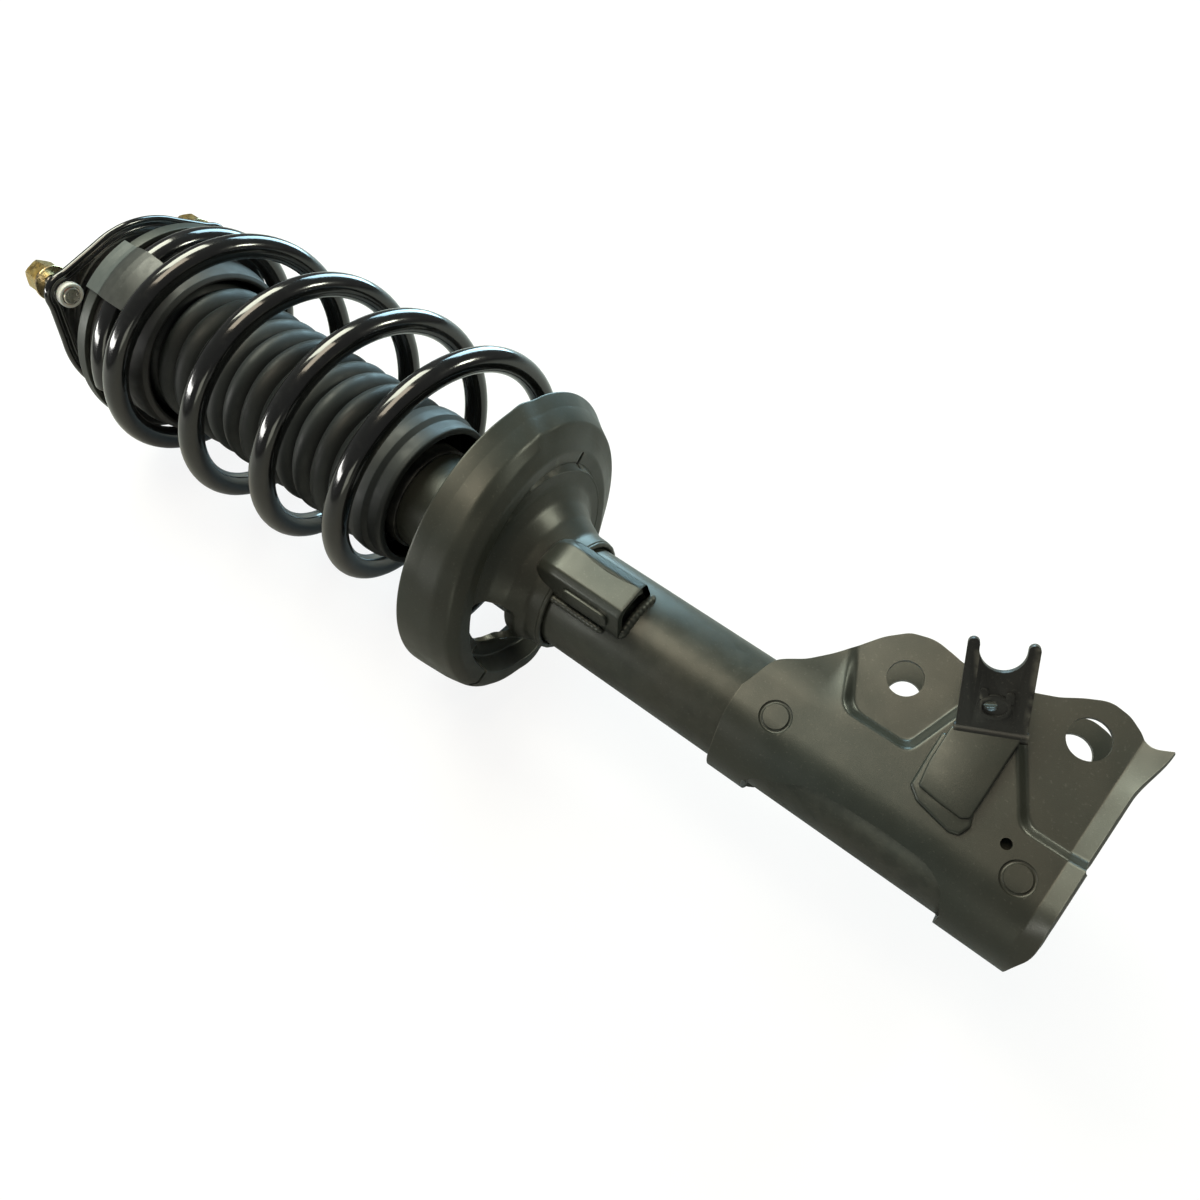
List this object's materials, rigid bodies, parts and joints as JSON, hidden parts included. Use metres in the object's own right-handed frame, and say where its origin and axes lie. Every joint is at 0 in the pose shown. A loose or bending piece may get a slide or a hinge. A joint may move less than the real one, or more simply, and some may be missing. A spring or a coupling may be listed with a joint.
{
  "type": "suspension strut assembly",
  "caption": "MacPherson strut with coil spring, dust boot, spring seats, bearing top mount with studs, and a clevis bracket that bolts to the steering knuckle.",
  "frame": {"origin": "centre of the damper tube's flat closed base", "axes": "+Z along the strut axis towards the top mount; +X from the axis towards the knuckle bracket's ears; +Y completes the right-handed frame, along the knuckle bolts"},
  "size_m": [0.1504, 0.1494, 0.5878],
  "materials": {
    "body_paint": "satin dark green-grey dip paint over pressed and tubular steel",
    "gloss_black": "gloss black powder coat",
    "satin_black": "satin black paint",
    "boot_rubber": "matte black rubber",
    "seal_rubber": "matte black rubber",
    "steel": "machined steel",
    "chrome": "polished hard chrome",
    "yellow_zinc": "yellow passivated zinc plating on steel",
    "white_plastic": "white nylon",
    "foam": "cellular urethane"
  },
  "bodies": {
    "strut_body": {"damper_tube": "body_paint", "tube_base": "body_paint", "base_valve": "steel", "pressure_tube": "steel", "rod_guide": "steel", "rod_seal": "seal_rubber", "bump_cap": "satin_black", "lower_spring_seat": "body_paint", "knuckle_bracket": "body_paint", "link_bracket": "body_paint", "hose_bracket": "body_paint", "coil_spring": "gloss_black", "dust_boot": "boot_rubber"},
    "upper_seat": {"upper_spring_seat": "satin_black", "spring_isolator": "boot_rubber", "bump_stop": "foam", "bearing_lower_race": "steel"},
    "bearing_cage": {"bearing_ball_cage": "white_plastic"},
    "top_mount": {"bearing_upper_race": "steel", "mount_plate": "gloss_black", "mount_rubber": "seal_rubber", "mount_sleeve": "steel", "piston_rod": "chrome", "piston": "steel", "piston_band": "satin_black", "piston_nut": "steel", "rebound_stop": "seal_rubber", "rod_washer": "yellow_zinc", "rod_nut": "yellow_zinc", "mount_stud_1": "steel", "stud_retainer_1": "white_plastic", "stud_nut_1": "yellow_zinc", "mount_stud_2": "steel", "stud_retainer_2": "white_plastic", "stud_nut_2": "yellow_zinc", "mount_stud_3": "steel", "stud_retainer_3": "white_plastic", "stud_nut_3": "yellow_zinc"}
  },
  "joints": [
    {"name": "suspension_stroke", "type": "slide", "parent": "strut_body", "child": "upper_seat", "axis": [0, 0, 1], "range_m": [-0.13, 0], "stiffness_N_per_m": 22000, "deforming": ["coil_spring", "dust_boot"]},
    {"name": "steering_turn", "type": "hinge", "parent": "upper_seat", "child": "top_mount", "pos_m": [0, 0, 0.5435], "axis": [0, 0, 1], "range_deg": [-40, 40]},
    {"name": "ball_cage_roll", "type": "hinge", "parent": "upper_seat", "child": "bearing_cage", "pos_m": [0, 0, 0.5435], "axis": [0, 0, 1], "range_deg": [-20, 20]}
  ],
  "couplings": [
    {"joint": "ball_cage_roll", "follows": "steering_turn", "ratio": 0.5}
  ]
}
